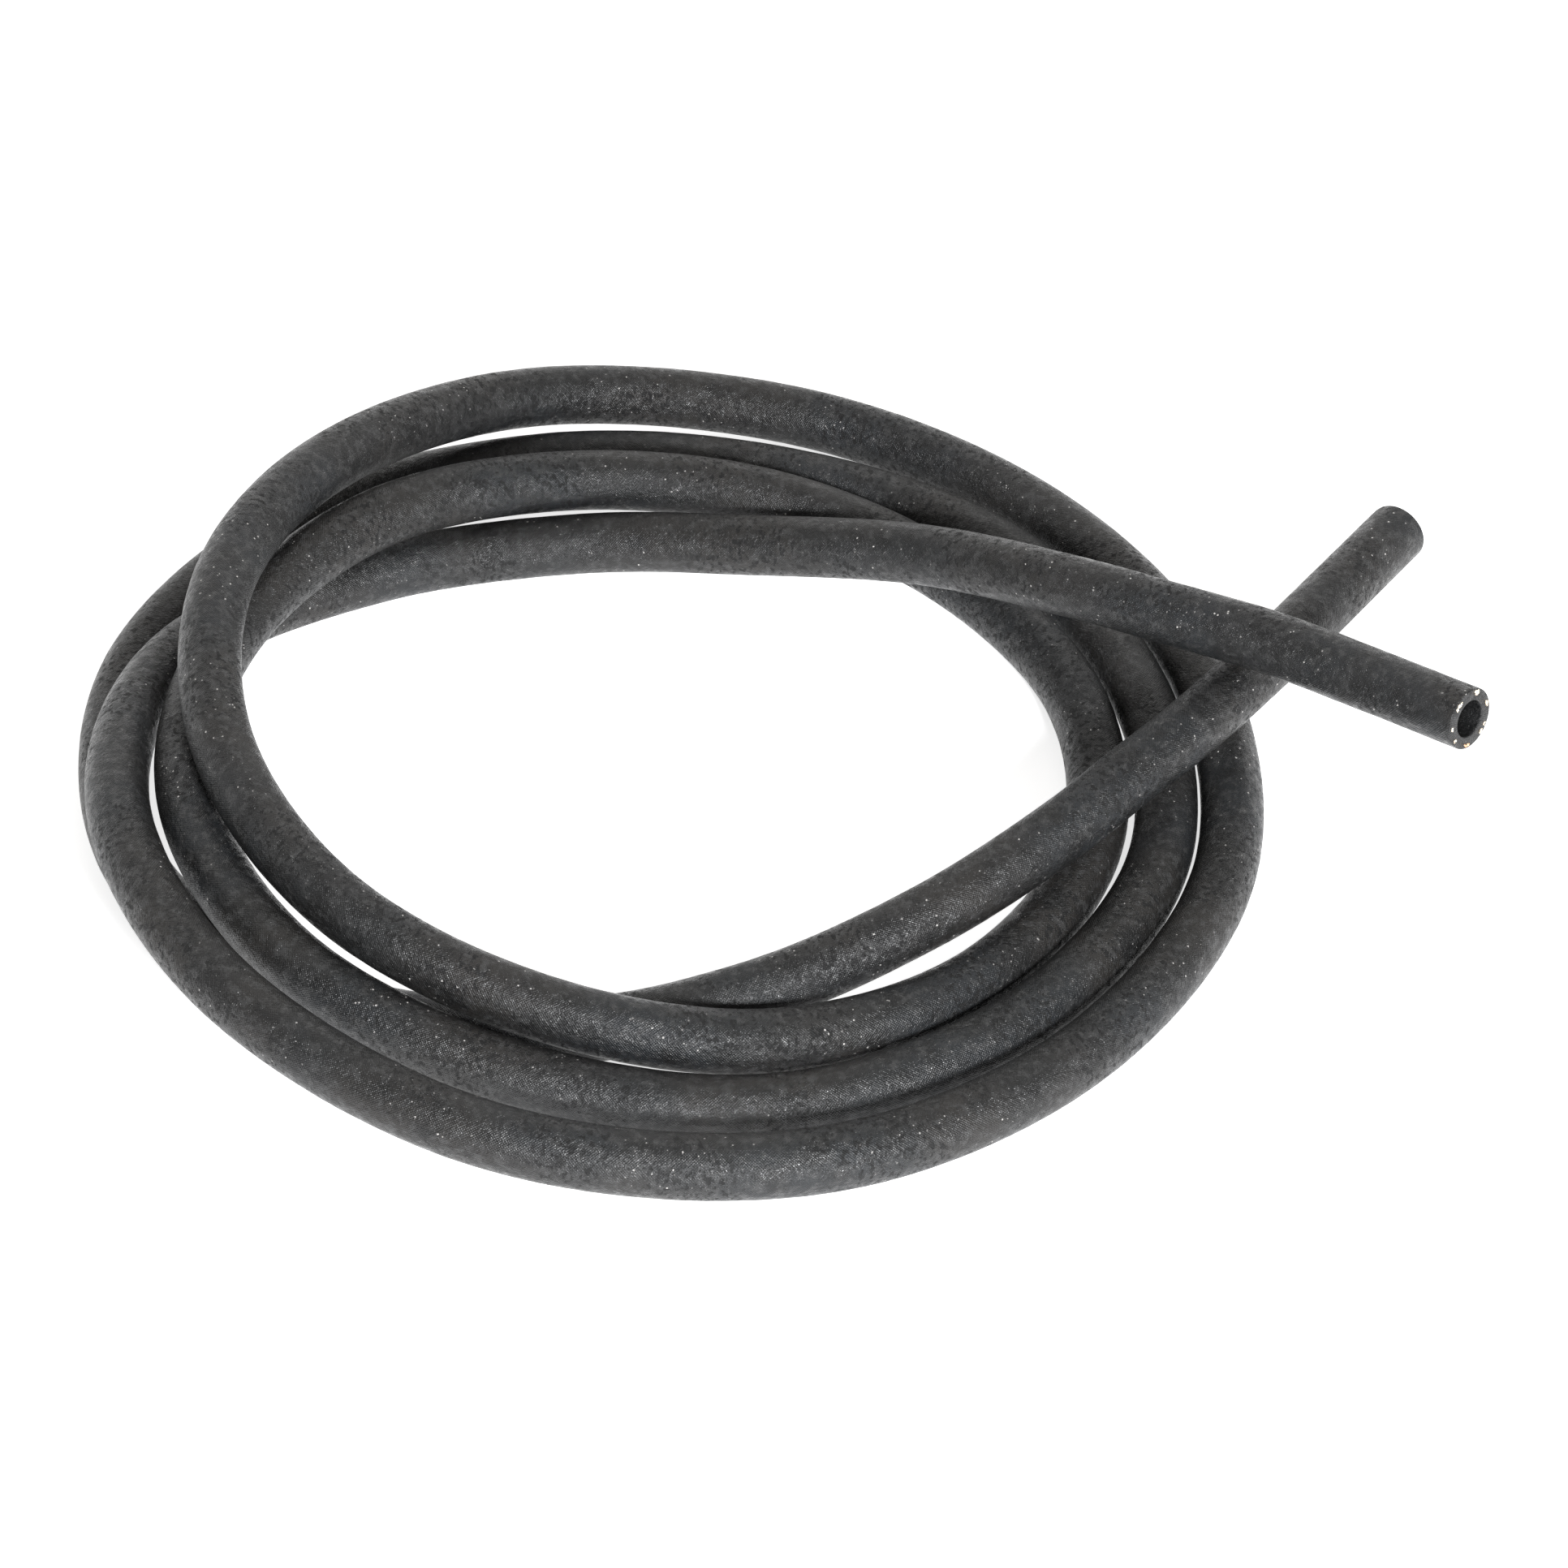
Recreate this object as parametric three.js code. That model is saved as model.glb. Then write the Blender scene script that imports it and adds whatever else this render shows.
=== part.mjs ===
// Water pump hose: one length of black fabric-reinforced rubber hose, loosely coiled on a level floor,
// with both cut ends left open. Millimetres, +Z up. The origin is the middle of the footprint, on the floor.
// Bearings are degrees anticlockwise from +X, around the middle of the coil.
import * as THREE from 'three';

const hoseDiameter = 15.88;
const boreDiameter = 9.53;
const coilRadius = 126.2;
const strandGap = 0.8;

const outerSides = 12;
const boreSides = 12;
const routeSteps = 144;

// The coil is hand-laid: it winds anticlockwise from its first station, with a station every 30 degrees.
// Each station is [lane, layer]. A lane is one strand width outwards from the coil radius, and a layer is
// one strand width up from the floor, so 0 lies on the floor and 1 lies across a strand that does.
const firstBearing = 90;
const bearingStep = 30;
const turns = [
  [[-2.0, 0.95], [-2.6, 0.4], [-2.2, 0.1], [-1.05, 0], [0.2, 0.6], [0.75, 1.35],
    [1.05, 1.45], [1.25, 1.05], [1.15, 0.45], [0.95, 0.05], [1.05, 0], [0.9, 0.05]],
  [[0.85, 0], [1.05, 0.05], [0.9, 0.65], [-0.05, 1.7], [-0.6, 2.2], [-0.9, 2.05],
    [-1.1, 1.65], [-1.4, 0.95], [-1.35, 0.35], [-1.15, 0.05], [-1.0, 0], [-1.1, 0]],
  [[-1.35, 0.1], [-1.4, 0.35], [-1.4, 0.75], [-1.05, 1.1], [-0.65, 1.15], [-0.3, 1.25],
    [-0.2, 1.1], [-0.5, 0.45], [-0.35, 0.05], [-0.15, 0], [0.05, 0], [-0.1, 0]],
  [[-0.25, 0], [-0.4, 0], [0, 0], [0.7, 0], [1.05, 0], [0.6, 0.05],
    [-0.65, 0], [-1.9, 0], [-2.45, 0.25], [-2.1, 0.75]],
];

// The two tails cross each other at the right of the coil. Each point is [x, y, layer], with x and y in
// coil radii: tail A runs from its cut end to the first turn, and tail B from the last turn to its cut end.
const tailA = [
  [1.265, 0.94, 2.7], [1.02, 0.93, 2.35], [0.8, 0.9, 2.15], [0.59, 0.85, 1.95], [0.37, 0.8, 1.7],
];
const tailB = [
  [0.765, 0.35, 1.0], [0.76, 0.52, 1.05], [0.757, 0.7, 1.1],
  [0.735, 0.93, 1.1], [0.69, 1.2, 1.0], [0.64, 1.49, 0.9],
];

const strandPitch = hoseDiameter + strandGap;

function heightOf(layer) {
  return hoseDiameter / 2 + layer * strandPitch;
}

function tailPoint([x, y, layer]) {
  return new THREE.Vector3(x * coilRadius, y * coilRadius, heightOf(layer));
}

function coilPoint([lane, layer], index) {
  const bearing = THREE.MathUtils.degToRad(firstBearing + index * bearingStep);
  const radius = coilRadius + lane * strandPitch;
  return new THREE.Vector3(radius * Math.cos(bearing), radius * Math.sin(bearing), heightOf(layer));
}

function hoseRoute() {
  const points = [...tailA.map(tailPoint), ...turns.flat().map(coilPoint), ...tailB.map(tailPoint)];
  return new THREE.CatmullRomCurve3(points, false, 'centripetal');
}

function ringPoints(diameter, sides) {
  const points = [];
  for (let side = 0; side < sides; side += 1) {
    const angle = ((side + 0.5) * 2 * Math.PI) / sides;
    points.push(new THREE.Vector2((diameter / 2) * Math.cos(angle), (diameter / 2) * Math.sin(angle)));
  }
  return points;
}

function hoseGeometry() {
  const section = new THREE.Shape(ringPoints(hoseDiameter, outerSides));
  section.holes.push(new THREE.Path(ringPoints(boreDiameter, boreSides)));
  return new THREE.ExtrudeGeometry(section, { steps: routeSteps, extrudePath: hoseRoute() });
}

const blackRubber = new THREE.MeshStandardMaterial({ color: 0x3e3d3c, roughness: 0.85, metalness: 0 });

const hose = new THREE.Mesh(hoseGeometry(), blackRubber);
hose.name = 'hose';
const box = new THREE.Box3().setFromBufferAttribute(hose.geometry.getAttribute('position'));
const middle = box.getCenter(new THREE.Vector3());
hose.position.set(-middle.x, -middle.y, -box.min.z);

const waterPumpHose = new THREE.Group();
waterPumpHose.add(hose);

export default waterPumpHose;
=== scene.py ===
"""Looks for the water pump hose: one loosely coiled length of black fabric-reinforced rubber hose.

It lies on a pale floor in soft light. Metres, +Z up. Bearings are degrees anticlockwise from +X,
around the middle of the coil.
"""
import math
import random

import bpy
import numpy as np
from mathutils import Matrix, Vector, noise


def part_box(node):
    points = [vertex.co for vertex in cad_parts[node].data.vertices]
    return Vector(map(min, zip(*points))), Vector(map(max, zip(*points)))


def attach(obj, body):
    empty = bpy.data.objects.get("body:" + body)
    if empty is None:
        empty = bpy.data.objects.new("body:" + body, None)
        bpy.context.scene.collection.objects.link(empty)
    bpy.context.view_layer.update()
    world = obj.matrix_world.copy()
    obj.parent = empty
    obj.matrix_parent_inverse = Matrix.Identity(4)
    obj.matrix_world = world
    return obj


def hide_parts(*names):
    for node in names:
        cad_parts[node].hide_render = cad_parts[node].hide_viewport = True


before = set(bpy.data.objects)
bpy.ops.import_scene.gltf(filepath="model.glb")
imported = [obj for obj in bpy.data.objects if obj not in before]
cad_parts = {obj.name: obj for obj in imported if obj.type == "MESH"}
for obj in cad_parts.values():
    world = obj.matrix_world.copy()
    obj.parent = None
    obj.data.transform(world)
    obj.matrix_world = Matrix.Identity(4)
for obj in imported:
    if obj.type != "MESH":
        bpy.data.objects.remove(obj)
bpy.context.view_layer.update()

MM = 0.001

# The hose and its route, as the part's source has them. A station is (lane, layer): a lane is one strand
# width outwards from the coil radius, and a layer is one strand width up from the floor. A tail's point is
# (x, y, layer), with x and y in coil radii.
HOSE_DIAMETER = 15.88 * MM
BORE_DIAMETER = 9.53 * MM
COIL_RADIUS = 126.2 * MM
STRAND_GAP = 0.8 * MM
STRAND_PITCH = HOSE_DIAMETER + STRAND_GAP
FIRST_BEARING = 90
BEARING_STEP = 30
TURNS = [
    [(-2.0, 0.95), (-2.6, 0.4), (-2.2, 0.1), (-1.05, 0), (0.2, 0.6), (0.75, 1.35),
     (1.05, 1.45), (1.25, 1.05), (1.15, 0.45), (0.95, 0.05), (1.05, 0), (0.9, 0.05)],
    [(0.85, 0), (1.05, 0.05), (0.9, 0.65), (-0.05, 1.7), (-0.6, 2.2), (-0.9, 2.05),
     (-1.1, 1.65), (-1.4, 0.95), (-1.35, 0.35), (-1.15, 0.05), (-1.0, 0), (-1.1, 0)],
    [(-1.35, 0.1), (-1.4, 0.35), (-1.4, 0.75), (-1.05, 1.1), (-0.65, 1.15), (-0.3, 1.25),
     (-0.2, 1.1), (-0.5, 0.45), (-0.35, 0.05), (-0.15, 0), (0.05, 0), (-0.1, 0)],
    [(-0.25, 0), (-0.4, 0), (0, 0), (0.7, 0), (1.05, 0), (0.6, 0.05),
     (-0.65, 0), (-1.9, 0), (-2.45, 0.25), (-2.1, 0.75)],
]
TAIL_A = [(1.265, 0.94, 2.7), (1.02, 0.93, 2.35), (0.8, 0.9, 2.15), (0.59, 0.85, 1.95), (0.37, 0.8, 1.7)]
TAIL_B = [(0.765, 0.35, 1.0), (0.76, 0.52, 1.05), (0.757, 0.7, 1.1),
          (0.735, 0.93, 1.1), (0.69, 1.2, 1.0), (0.64, 1.49, 0.9)]

# How finely the hose is meshed: steps of skin and of bore along it, and sides round it
SKIN_STEPS = 1500
BORE_STEPS = 250
SIDES = 44
SPAN_SAMPLES = 40

# Relief of the skin and of the cut faces, and the rounding of the skin's edge at a cut
SKIN_RELIEF = 0.09 * MM
BROAD_LUMP = 14 * MM
FINE_LUMP = 4 * MM
FINE_LUMP_OFFSET = Vector((7, 3, 1))
FACE_RELIEF = 0.05 * MM
FACE_LUMP = 1.6 * MM
EDGE_ROUND = 0.22 * MM
FACE_LIP = 0.25 * MM
FACE_SHARES = (0.15, 0.3, 0.45, 0.6, 0.75, 0.9)

# What the hose_cut attribute says of a place
ON_SKIN = 0.0
ON_EDGE = 0.5
ON_FACE = 1.0
IN_BORE = 2.0

# Sizes of the rubber's patterns and of its fine relief
DRIFT = 60 * MM
WORN_PATCH = 26 * MM
DUST_AND_GLINT_PATCH = 22 * MM
CLOUD = 9 * MM
BLOTCH = 2.6 * MM
FLECK = 1.9 * MM
FLECK_SQUEEZE = (1.0, 1.0, 1.4)
LUMP = 1.5 * MM
# Sizes of the pale specks, which are partly dust and partly painted glints
DUST_AND_GLINT_CELL = 1.5 * MM
DUST_AND_GLINT_PICK = 1.3 * MM
CUT_GRAIN = 0.9 * MM
GRAIN = 0.7 * MM
WRAP_RIBS = 72

# The cut ends. Each yarn end is (degrees round the face, width in mm, depth in mm towards the bore, tint),
# and YARN_RING is the ring that they stand on, as a share of the hose's radius.
YARN_RING = 0.865
YARNS_A = [
    (6, 2.0, 0.85, 0.4), (61, 1.7, 1.35, 0.2), (121, 2.8, 0.95, 0.2), (173, 1.1, 0.7, 0.1),
    (205, 1.0, 0.9, 0.1), (253, 2.2, 0.8, 0.8), (303, 1.5, 0.6, 0.3), (321, 1.3, 0.6, 0.4),
]
YARNS_B = [
    (12, 1.2, 0.7, 0.3), (58, 1.8, 0.8, 0.5), (104, 1.0, 0.9, 0.2), (149, 1.6, 0.7, 0.4),
    (197, 2.1, 0.7, 0.6), (241, 1.1, 0.8, 0.2), (288, 1.9, 0.7, 0.4), (333, 1.3, 0.6, 0.7),
]
SEED_A = 11
SEED_B = 12

# The fibres of a yarn end
FEWEST_FIBRES = 9
FIBRES_PER_MM2 = 17
FIBRE_SIDES = 5
FIBRE_LEAN = 0.35
FIBRE_RADIUS_MM = (0.11, 0.19)
FIBRE_HEIGHT_MM = (0.08, 0.32)
FIBRE_ROOT = 0.25 * MM
FIBRE_SHADE = (-0.35, 0.25)

# The camera's place and what it looks at, from the middle of the coil's circle on the floor
CAMERA_PLACE = Vector((0.7366, -0.6947, 0.9599))
CAMERA_AIM = Vector((0.0181, 0.0238, 0))
CAMERA_LENS_MM = 126.0

# The light. Where the cosine between a direction and the camera's goes from the first number of TENT_FALL
# to the second, the white tent's glow goes from the third to the fourth.
TENT_FALL = (-0.3, 0.6, 1.1, 0.22)
TENT_COLOUR = (1.0, 0.99, 0.975, 1)
FLOOR_HALF = 4.0
FLOOR_GLOW = 0.72

# Square soft lights that face the middle: (name, place, side, watts, colour)
SOFT_LIGHTS = [
    ("key_light", (1.14, -0.59, 0.78), 0.22, 36, (0.97, 0.98, 1.0)),
    ("top_light", (-0.6, 0.5, 1.4), 1.2, 2.5, (1.0, 0.95, 0.89)),
]


def height_of(layer):
    return HOSE_DIAMETER / 2 + layer * STRAND_PITCH


def tail_point(point):
    x, y, layer = point
    return x * COIL_RADIUS, y * COIL_RADIUS, height_of(layer)


def coil_point(index, station):
    lane, layer = station
    bearing = math.radians(FIRST_BEARING + index * BEARING_STEP)
    radius = COIL_RADIUS + lane * STRAND_PITCH
    return radius * math.cos(bearing), radius * math.sin(bearing), height_of(layer)


def route_points():
    """The points of the route, around the middle of the coil."""
    stations = [station for turn in TURNS for station in turn]
    coil = [coil_point(index, station) for index, station in enumerate(stations)]
    return np.array([*map(tail_point, TAIL_A), *coil, *map(tail_point, TAIL_B)])


def smooth_curve(points):
    """A centripetal Catmull-Rom curve through the points, with SPAN_SAMPLES samples in each span."""
    padded = np.vstack([2 * points[0] - points[1], points, 2 * points[-1] - points[-2]])
    before, start, end, after = padded[:-3], padded[1:-2], padded[2:-1], padded[3:]
    spans = ((before, start), (start, end), (end, after))
    gap0, gap1, gap2 = (np.sqrt(np.linalg.norm(b - a, axis=1))[:, None] for a, b in spans)
    slope1 = ((start - before) / gap0 - (end - before) / (gap0 + gap1) + (end - start) / gap1) * gap1
    slope2 = ((end - start) / gap1 - (after - start) / (gap1 + gap2) + (after - end) / gap2) * gap1
    u = (np.arange(SPAN_SAMPLES) / SPAN_SAMPLES)[None, :, None]
    a, b = start[:, None], slope1[:, None]
    c = (-3 * start + 3 * end - 2 * slope1 - slope2)[:, None]
    d = (2 * start - 2 * end + slope1 + slope2)[:, None]
    curve = a + b * u + c * u ** 2 + d * u ** 3
    return np.vstack([curve.reshape(-1, 3), points[-1:]])


def even_steps(curve, count):
    """The curve at count + 1 points spaced evenly along it, and its length."""
    along = np.r_[0, np.cumsum(np.linalg.norm(np.diff(curve, axis=0), axis=1))]
    wanted = np.linspace(0, along[-1], count + 1)
    return np.stack([np.interp(wanted, along, curve[:, k]) for k in range(3)], 1), along[-1]


def carried_frames(line):
    """The tangent and two side directions at each point, carried along the line without twist."""
    tangent = np.gradient(line, axis=0)
    tangent /= np.linalg.norm(tangent, axis=1)[:, None]
    side = np.cross(tangent[0], (0, 0, 1))
    side /= np.linalg.norm(side)
    sides = []
    for t in tangent:
        side = side - t * (side @ t)
        side = side / np.linalg.norm(side)
        sides.append(side)
    sides = np.array(sides)
    return tangent, sides, np.cross(tangent, sides)


def straightened(angle, along, radius):
    """A place on the hose as if it lay straight along Z: the coordinates for its relief and material."""
    return np.array([radius * np.cos(angle), radius * np.sin(angle), along])


def skin_height(place):
    """Height of the skin over the true cylinder at a straightened place, from broad and fine lumps."""
    broad = noise.noise(Vector(place) / BROAD_LUMP)
    fine = noise.noise(Vector(place) / FINE_LUMP + FINE_LUMP_OFFSET)
    return SKIN_RELIEF * (0.6 * broad + 0.4 * fine)


def new_mesh(name, vertices, faces, smooth=True):
    mesh = bpy.data.meshes.new(name)
    mesh.from_pydata([tuple(v) for v in vertices], [], faces)
    mesh.update()
    for polygon in mesh.polygons:
        polygon.use_smooth = smooth
    piece = bpy.data.objects.new(name, mesh)
    bpy.context.scene.collection.objects.link(piece)
    return piece


def cut_rings():
    """Rings over a cut end, from the skin to the bore wall: (distance in from the cut, radius)."""
    outer = HOSE_DIAMETER / 2
    bore = BORE_DIAMETER / 2
    face_outer = outer - 1.3 * EDGE_ROUND
    face_inner = bore + FACE_LIP
    edge = [
        (2.4 * EDGE_ROUND, outer - 0.02 * MM),
        (EDGE_ROUND, outer - 0.25 * EDGE_ROUND),
        (0.35 * EDGE_ROUND, outer - 0.6 * EDGE_ROUND),
    ]
    face = [(0, face_outer + share * (face_inner - face_outer)) for share in (0, *FACE_SHARES)]
    lip = [(0.03 * MM, bore + 0.18 * MM), (0.2 * MM, bore + 0.03 * MM), (0.6 * MM, bore)]
    return edge + face + lip


def hose_mesh(line, length):
    """The whole hose as one closed tube: skin, both cut faces and the bore."""
    tangent, side, up = carried_frames(line)
    step = length / (len(line) - 1)
    angles = np.arange(SIDES) * 2 * math.pi / SIDES
    vertices, places, cuts = [], [], []

    def frame_at(along):
        whole = along / step
        low = min(int(whole), len(line) - 2)
        part = whole - low
        mix = [a[low] * (1 - part) + a[low + 1] * part for a in (line, side, up)]
        return mix[0], mix[1] / np.linalg.norm(mix[1]), mix[2] / np.linalg.norm(mix[2])

    def add_ring(along, radius, cut, face_relief=0.0):
        centre, right, top = frame_at(along)
        outwards = -tangent[0] if along < length / 2 else tangent[-1]
        for angle in angles:
            place = straightened(angle, along, radius)
            size = radius + (skin_height(place) if cut == ON_SKIN else 0)
            push = face_relief * noise.noise(Vector(place) / FACE_LUMP)
            spoke = right * math.cos(angle) + top * math.sin(angle)
            vertices.append(centre + outwards * push + spoke * size)
            places.append(place)
            cuts.append(cut)

    def add_cut_ring(along, inset, radius):
        cut = ON_FACE if radius < HOSE_DIAMETER / 2 - EDGE_ROUND else ON_EDGE
        add_ring(along, radius, cut, FACE_RELIEF if inset == 0 else 0)

    for inset, radius in reversed(cut_rings()):
        add_cut_ring(inset, inset, radius)
    skin_start = 4 * EDGE_ROUND
    for along in np.linspace(skin_start, length - skin_start, SKIN_STEPS + 1):
        add_ring(along, HOSE_DIAMETER / 2, ON_SKIN)
    for inset, radius in cut_rings():
        add_cut_ring(length - inset, inset, radius)
    for k in range(BORE_STEPS - 1, 0, -1):
        add_ring(length * k / BORE_STEPS, BORE_DIAMETER / 2, IN_BORE)

    ring_total = len(vertices) // SIDES
    faces = []
    for ring in range(ring_total):
        here, there = ring * SIDES, (ring + 1) % ring_total * SIDES
        for k in range(SIDES):
            after = (k + 1) % SIDES
            faces.append((here + k, here + after, there + after, there + k))
    return np.array(vertices), np.array(places), cuts, faces


def weave_map(places, faces):
    """For each face corner, the turns round the hose and the same scale along it.

    The turns run on past the seam, so that no face spans a jump.
    """
    turns = np.arctan2(places[:, 1], places[:, 0]) / (2 * math.pi)
    along = places[:, 2] / (math.pi * HOSE_DIAMETER)
    corners = []
    for face in faces:
        base = turns[face[0]]
        for k in face:
            corners.append((turns[k] + round(base - turns[k]), along[k]))
    return corners


def rest_shift(vertices):
    """How far to move points made around the middle of the coil, so that they lie as the CAD hose lies."""
    low, high = (np.array(corner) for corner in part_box("hose"))
    own_low, own_high = vertices.min(0), vertices.max(0)
    shift = (low + high) / 2 - (own_low + own_high) / 2
    shift[2] = low[2] - own_low[2]
    return shift


# Materials


class Nodes:
    """Short calls for building one node material."""

    def __init__(self, name):
        self.material = bpy.data.materials.new(name)
        self.material.use_nodes = True
        self.tree = self.material.node_tree
        self.tree.nodes.clear()
        output = self.tree.nodes.new("ShaderNodeOutputMaterial")
        self.shader = self.tree.nodes.new("ShaderNodeBsdfPrincipled")
        self.tree.links.new(self.shader.outputs[0], output.inputs[0])

    def put(self, socket, value):
        if isinstance(value, bpy.types.NodeSocket):
            self.tree.links.new(value, socket)
        else:
            socket.default_value = value

    def attribute(self, name, output):
        node = self.tree.nodes.new("ShaderNodeAttribute")
        node.attribute_name = name
        return node.outputs[output]

    def math(self, operation, a, b=0.0):
        node = self.tree.nodes.new("ShaderNodeMath")
        node.operation = operation
        self.put(node.inputs[0], a)
        self.put(node.inputs[1], b)
        return node.outputs[0]

    def product(self, a, b):
        return self.math("MULTIPLY", a, b)

    def scaled(self, vector, factors):
        node = self.tree.nodes.new("ShaderNodeVectorMath")
        node.operation = "MULTIPLY"
        self.put(node.inputs[0], vector)
        node.inputs[1].default_value = factors
        return node.outputs[0]

    def noise(self, vector, size, detail=3.0, roughness=0.55):
        node = self.tree.nodes.new("ShaderNodeTexNoise")
        self.put(node.inputs["Vector"], vector)
        node.inputs["Scale"].default_value = 1 / size
        node.inputs["Detail"].default_value = detail
        node.inputs["Roughness"].default_value = roughness
        return node.outputs["Fac"]

    def cell_distance(self, vector, size):
        """The distance from scattered points that lie about size apart, in shares of size."""
        node = self.tree.nodes.new("ShaderNodeTexVoronoi")
        self.put(node.inputs["Vector"], vector)
        node.inputs["Scale"].default_value = 1 / size
        return node.outputs["Distance"]

    def ranged(self, value, from_low, from_high, to_low=0.0, to_high=1.0):
        """The value eased from one range to another, and held level outside it."""
        node = self.tree.nodes.new("ShaderNodeMapRange")
        node.interpolation_type = "SMOOTHSTEP"
        self.put(node.inputs["Value"], value)
        for socket, number in zip(node.inputs[1:5], (from_low, from_high, to_low, to_high)):
            socket.default_value = number
        return node.outputs[0]

    def crossed_ribs(self, weave):
        """Fine ribs along both diagonals of the fabric wrap: weave is (turns round, turns along, 0)."""
        split = self.tree.nodes.new("ShaderNodeSeparateXYZ")
        self.put(split.inputs[0], weave)
        ribs = []
        for direction in (1, -1):
            phase = self.math("ADD", split.outputs[0], self.product(split.outputs[1], direction))
            ribs.append(self.math("SINE", self.product(phase, 2 * math.pi * WRAP_RIBS)))
        return self.product(self.math("ADD", *ribs), 0.5)

    def mixed(self, factor, a, b):
        node = self.tree.nodes.new("ShaderNodeMix")
        node.data_type = "RGBA"
        self.put(node.inputs["Factor"], factor)
        self.put(node.inputs["A"], a)
        self.put(node.inputs["B"], b)
        return node.outputs["Result"]

    def bump(self, height, distance, strength=1.0, normal=None):
        node = self.tree.nodes.new("ShaderNodeBump")
        node.inputs["Strength"].default_value = strength
        node.inputs["Distance"].default_value = distance
        self.put(node.inputs["Height"], height)
        if normal is not None:
            self.put(node.inputs["Normal"], normal)
        return node.outputs[0]


def grey(value, warm=0.0):
    """A linear grey, pushed towards red-brown by a positive warm and towards blue by a negative one."""
    return (value * (1 + warm), value, value * (1 - warm), 1.0)


COOL_RUBBER = grey(0.0155, -0.10)
WARM_RUBBER = grey(0.017, 0.08)
DARK_CLOUD = grey(0.009)
PALE_BLOTCH = grey(0.044)
DARK_FLECK = grey(0.004)
# Pale speck colour: partly real dust, partly painted glints standing in for light caught by the fine bumps
DUST_AND_GLINT = grey(0.5, 0.04)
CUT_DARK = grey(0.010, -0.05)
CUT_PALE = grey(0.022)
# Painted shade: the bore wall is coloured darker than the rubber outside, for the shade deep in the hole
BORE_PAINTED_SHADE = grey(0.006, 0.03)
CREAM_YARN = (0.92, 0.85, 0.70, 1)
BROWN_YARN = (0.62, 0.33, 0.17, 1)


def rubber_material():
    """Matte black rubber that was cured in a fabric wrap: mottled, finely ribbed, flecked, a bit dusty, and
    with painted glints among its dust specks.
    """
    n = Nodes("black_rubber")
    place = n.attribute("hose_place", "Vector")
    weave = n.attribute("hose_weave", "Vector")
    cut = n.attribute("hose_cut", "Fac")

    drift = n.noise(place, DRIFT, 2.0)
    clouds = n.noise(place, CLOUD, 4.0, 0.6)
    blotches = n.noise(place, BLOTCH, 4.0, 0.65)
    flecks = n.noise(n.scaled(place, FLECK_SQUEEZE), FLECK, 4.0, 0.62)
    worn = n.ranged(n.noise(place, WORN_PATCH), 0.4, 0.62)
    dark_flecks = n.product(n.ranged(flecks, 0.52, 0.6), n.ranged(worn, 0.0, 1.0, 0.15, 1.0))

    tone = n.mixed(n.ranged(drift, 0.4, 0.6), COOL_RUBBER, WARM_RUBBER)
    tone = n.mixed(n.ranged(clouds, 0.4, 0.68), tone, DARK_CLOUD)
    tone = n.mixed(n.product(n.ranged(blotches, 0.46, 0.66), 0.75), tone, PALE_BLOTCH)
    tone = n.mixed(dark_flecks, tone, DARK_FLECK)

    # Pale specks in patches: partly dust, partly painted glints (painted highlight points)
    dust_and_glint_patches = n.ranged(n.noise(place, DUST_AND_GLINT_PATCH, 2.0), 0.46, 0.6)
    speck_near = n.ranged(n.cell_distance(place, DUST_AND_GLINT_CELL), 0.22, 0.1)
    speck_pick = n.ranged(n.noise(place, DUST_AND_GLINT_PICK, 1.0), 0.55, 0.62)
    dust_and_glint_specks = n.product(n.product(speck_near, speck_pick), dust_and_glint_patches)
    tone = n.mixed(n.product(dust_and_glint_specks, 0.9), tone, DUST_AND_GLINT)

    cut_tone = n.mixed(n.ranged(n.noise(place, CUT_GRAIN), 0.35, 0.7), CUT_DARK, CUT_PALE)
    tone = n.mixed(n.ranged(cut, 0.6, 0.9), tone, cut_tone)
    # Inside the bore the rubber's tone gives way to a flat painted shade
    tone = n.mixed(n.ranged(cut, 1.1, 1.6), tone, BORE_PAINTED_SHADE)
    n.put(n.shader.inputs["Base Color"], tone)

    blotch_polish = n.ranged(blotches, 0.35, 0.7, 0.45, 0.25)
    cloud_polish = n.ranged(clouds, 0.3, 0.7, 0.05, -0.05)
    polish = n.math("ADD", blotch_polish, cloud_polish)
    n.put(n.shader.inputs["Roughness"], n.math("ADD", polish, n.product(dark_flecks, 0.3)))
    n.shader.inputs["Specular IOR Level"].default_value = 0.42

    normal = n.bump(n.crossed_ribs(weave), 0.05 * MM, 0.9)
    normal = n.bump(n.noise(place, LUMP, 3.0, 0.6), 0.34 * MM, 1.0, normal)
    normal = n.bump(n.noise(place, GRAIN, 2.0, 0.6), 0.22 * MM, 1.0, normal)
    normal = n.bump(n.product(dark_flecks, -1.0), 0.08 * MM, 1.0, normal)
    n.put(n.shader.inputs["Normal"], normal)
    return n.material


def yarn_material():
    """Undyed reinforcement yarn, cut short: cream with brown stains."""
    n = Nodes("reinforcement_yarn")
    tint = n.attribute("yarn_tint", "Fac")
    n.put(n.shader.inputs["Base Color"], n.mixed(tint, CREAM_YARN, BROWN_YARN))
    n.shader.inputs["Roughness"].default_value = 0.85
    return n.material


# Pieces


def add_attribute(piece, name, kind, values):
    layer = piece.data.attributes.new(name, kind, "POINT")
    key = "vector" if kind == "FLOAT_VECTOR" else "value"
    layer.data.foreach_set(key, np.asarray(values, dtype=np.float32).ravel())


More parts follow.
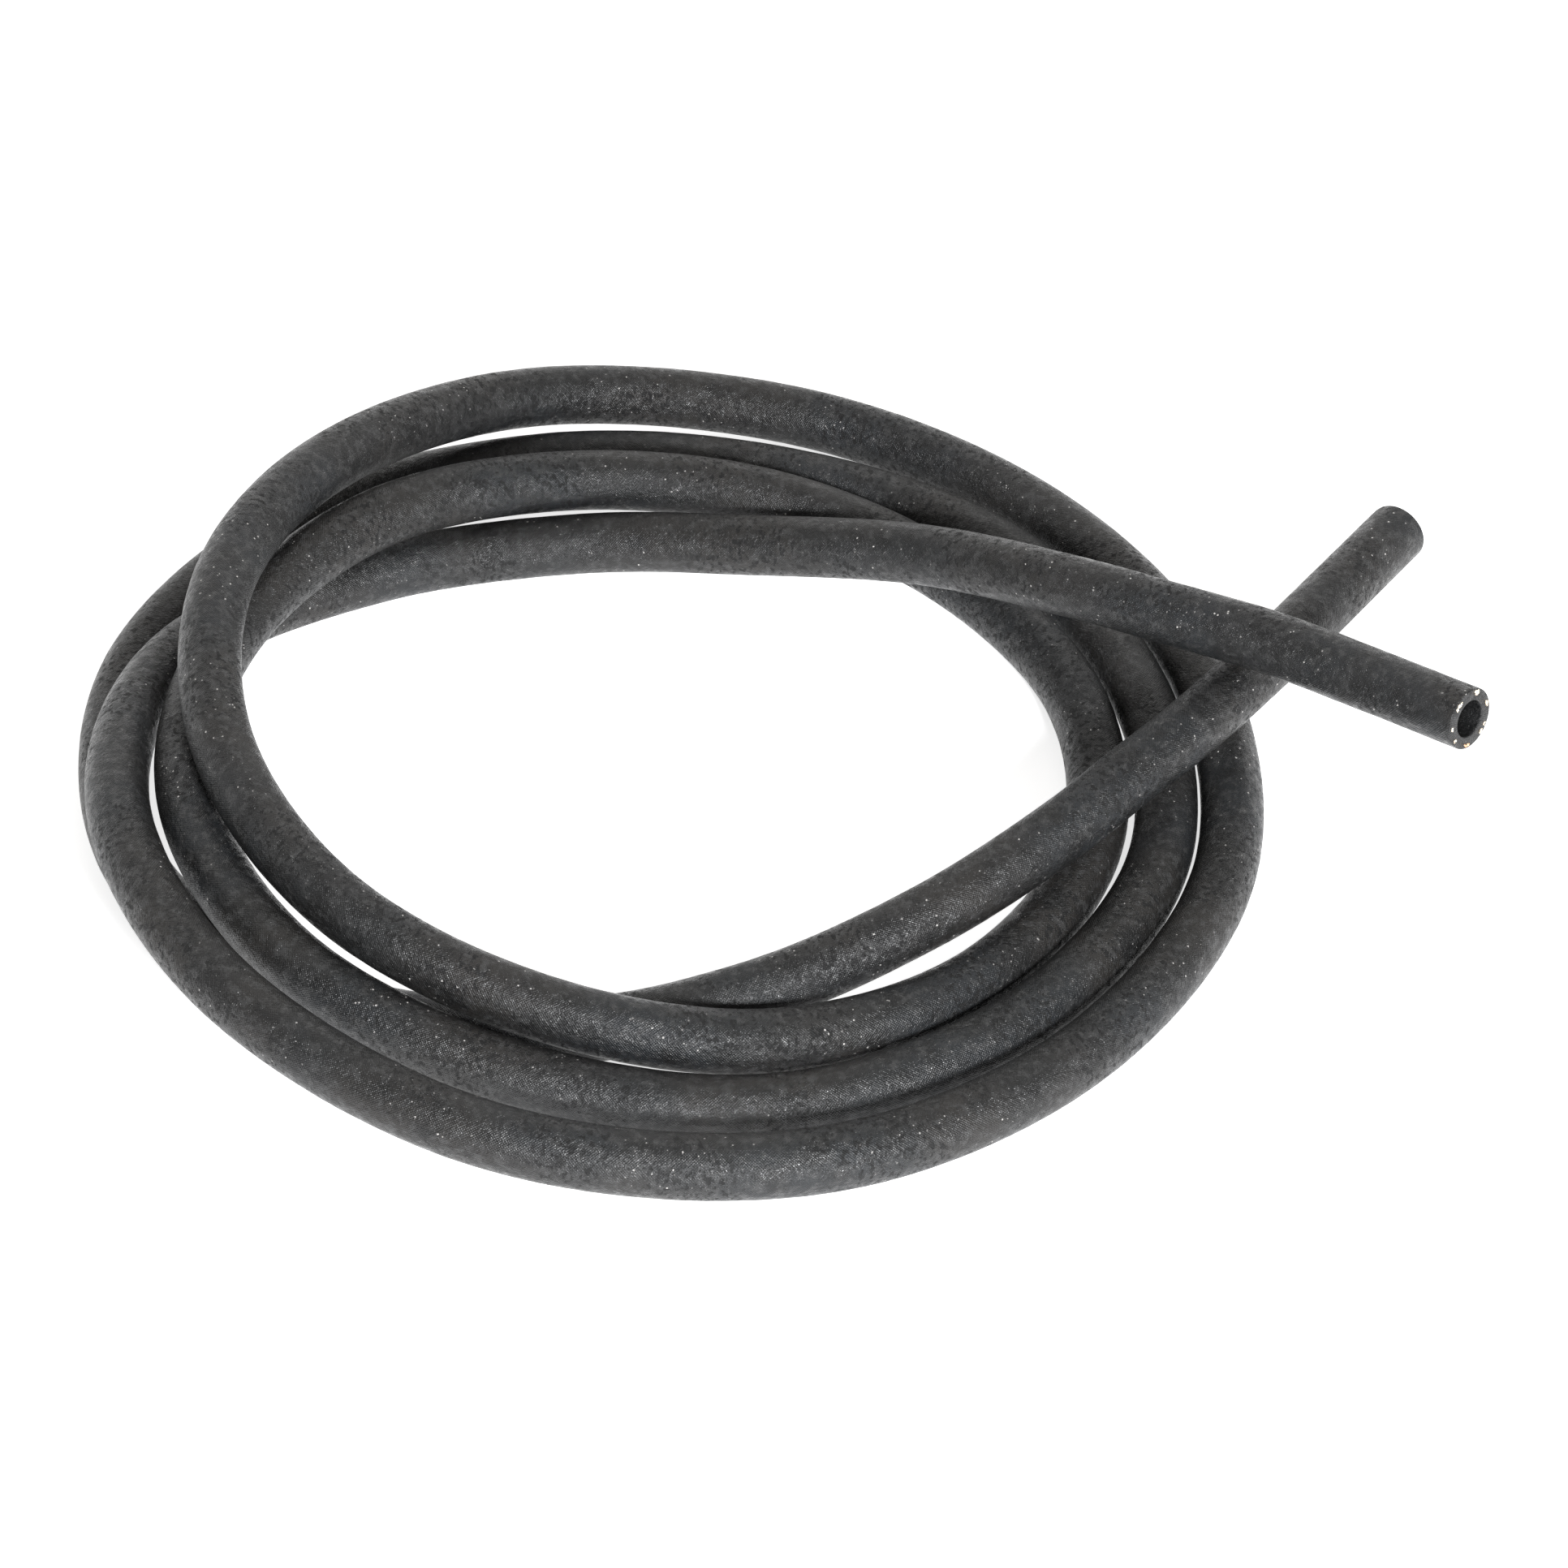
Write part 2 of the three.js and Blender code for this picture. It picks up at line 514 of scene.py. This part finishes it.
def make_hose(line, length, material):
    vertices, places, cuts, faces = hose_mesh(line, length)
    shift = rest_shift(vertices)
    piece = new_mesh("rubber_hose", vertices + shift, faces)
    add_attribute(piece, "hose_place", "FLOAT_VECTOR", places)
    add_attribute(piece, "hose_cut", "FLOAT", cuts)
    weave_layer = piece.data.uv_layers.new(name="hose_weave")
    weave_layer.data.foreach_set("uv", np.asarray(weave_map(places, faces), dtype=np.float32).ravel())
    piece.data.materials.append(material)
    return piece, shift


def add_fibre(vertices, faces, base, axis, radius, height):
    """One fibre stub: a prism with a narrowed tip, rooted a little way inside the rubber."""
    flat = axis.orthogonal().normalized()
    other = axis.cross(flat)
    first = len(vertices)
    rings = ((-FIBRE_ROOT, radius), (height * 0.7, radius), (height, radius * 0.55))
    for level, size in rings:
        for k in range(FIBRE_SIDES):
            a = 2 * math.pi * k / FIBRE_SIDES
            spoke = flat * math.cos(a) + other * math.sin(a)
            vertices.append(base + axis * level + spoke * size)
    for level in range(len(rings) - 1):
        for k in range(FIBRE_SIDES):
            a = first + level * FIBRE_SIDES + k
            b = first + level * FIBRE_SIDES + (k + 1) % FIBRE_SIDES
            faces.append((a, b, b + FIBRE_SIDES, a + FIBRE_SIDES))
    faces.append(tuple(first + 2 * FIBRE_SIDES + k for k in range(FIBRE_SIDES)))
    faces.append(tuple(first + FIBRE_SIDES - 1 - k for k in range(FIBRE_SIDES)))


def make_yarns(name, centre, outward, towards, yarns, material, seed):
    """Short fibre stubs that stand out of the cut face, one bundle for each yarn end.

    The yarns' degrees are counted round the face from its direction nearest to towards.
    """
    draw = random.Random(seed)
    across = (towards - outward * towards.dot(outward)).normalized()
    up = outward.cross(across).normalized()
    ring = YARN_RING * HOSE_DIAMETER / 2
    vertices, faces, tints = [], [], []
    for degrees, width, depth, tint in yarns:
        for _ in range(max(FEWEST_FIBRES, int(FIBRES_PER_MM2 * width * depth))):
            spread = math.sqrt(draw.random())
            turn = draw.uniform(0, 2 * math.pi)
            round_offset = 0.5 * width * MM * spread * math.cos(turn)
            radial = ring + 0.5 * depth * MM * spread * math.sin(turn)
            angle = math.radians(degrees) + round_offset / ring
            base = centre + across * (radial * math.cos(angle)) + up * (radial * math.sin(angle))
            lean = Vector([draw.uniform(-FIBRE_LEAN, FIBRE_LEAN) for _ in range(3)])
            radius = draw.uniform(*FIBRE_RADIUS_MM) * MM
            height = draw.uniform(*FIBRE_HEIGHT_MM) * MM
            shade = min(1.0, max(0.0, tint + draw.uniform(*FIBRE_SHADE)))
            add_fibre(vertices, faces, base, (outward + lean).normalized(), radius, height)
            tints += [shade] * (len(vertices) - len(tints))
    piece = new_mesh(name, vertices, faces)
    add_attribute(piece, "yarn_tint", "FLOAT", tints)
    piece.data.materials.append(material)
    return piece


def make_camera(shift):
    data = bpy.data.cameras.new("camera")
    data.sensor_width = 36
    data.lens = CAMERA_LENS_MM
    data.clip_start = 0.05
    camera = bpy.data.objects.new("camera", data)
    camera.location = CAMERA_PLACE + shift
    look = CAMERA_AIM - CAMERA_PLACE
    camera.rotation_euler = look.to_track_quat("-Z", "Y").to_euler()
    bpy.context.scene.collection.objects.link(camera)
    bpy.context.scene.camera = camera


def make_floor():
    n = Nodes("pale_floor")
    n.shader.inputs["Base Color"].default_value = (0.9, 0.9, 0.9, 1)
    n.shader.inputs["Roughness"].default_value = 0.9
    n.shader.inputs["Emission Color"].default_value = (1, 1, 1, 1)
    n.shader.inputs["Emission Strength"].default_value = FLOOR_GLOW
    corners = [(x * FLOOR_HALF, y * FLOOR_HALF, 0) for x, y in ((-1, -1), (1, -1), (1, 1), (-1, 1))]
    floor = new_mesh("floor", corners, [(0, 1, 2, 3)], smooth=False)
    floor.data.materials.append(n.material)


def add_light(name, place, side, watts, colour):
    data = bpy.data.lights.new(name, "AREA")
    data.shape = "SQUARE"
    data.size = side
    data.energy = watts
    data.color = colour
    lamp = bpy.data.objects.new(name, data)
    lamp.location = place
    lamp.rotation_euler = (-Vector(place)).to_track_quat("-Z", "Y").to_euler()
    bpy.context.scene.collection.objects.link(lamp)


def make_light():
    """A white tent that is darker on the side where the camera stands, and two soft lights."""
    world = bpy.data.worlds.new("white_tent")
    world.use_nodes = True
    tree = world.node_tree
    background = tree.nodes["Background"]
    direction = tree.nodes.new("ShaderNodeTexCoord")
    facing = tree.nodes.new("ShaderNodeVectorMath")
    facing.operation = "DOT_PRODUCT"
    facing.inputs[1].default_value = CAMERA_PLACE.normalized()
    tree.links.new(direction.outputs["Generated"], facing.inputs[0])
    fall = tree.nodes.new("ShaderNodeMapRange")
    fall.interpolation_type = "SMOOTHSTEP"
    tree.links.new(facing.outputs["Value"], fall.inputs["Value"])
    for socket, number in zip(fall.inputs[1:5], TENT_FALL):
        socket.default_value = number
    background.inputs["Color"].default_value = TENT_COLOUR
    tree.links.new(fall.outputs[0], background.inputs["Strength"])
    bpy.context.scene.world = world
    bpy.context.scene.view_settings.view_transform = "Standard"
    for light in SOFT_LIGHTS:
        add_light(*light)


line, length = even_steps(smooth_curve(route_points()), SKIN_STEPS)
rubber = rubber_material()
yarn = yarn_material()
hose, coil_shift = make_hose(line, length, rubber)
resting_line = line + coil_shift

make_camera(Vector(coil_shift))
make_floor()
make_light()

end_a, end_b = Vector(resting_line[0]), Vector(resting_line[-1])
out_a = (end_a - Vector(resting_line[2])).normalized()
out_b = (end_b - Vector(resting_line[-3])).normalized()
yarns_a = make_yarns("yarn_ends_a", end_a, out_a, Vector((0, 1, 0)), YARNS_A, yarn, SEED_A)
yarns_b = make_yarns("yarn_ends_b", end_b, out_b, Vector((1, 0, 0)), YARNS_B, yarn, SEED_B)

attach(hose, "root")
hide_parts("hose")
for piece in (yarns_a, yarns_b):
    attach(piece, "root")
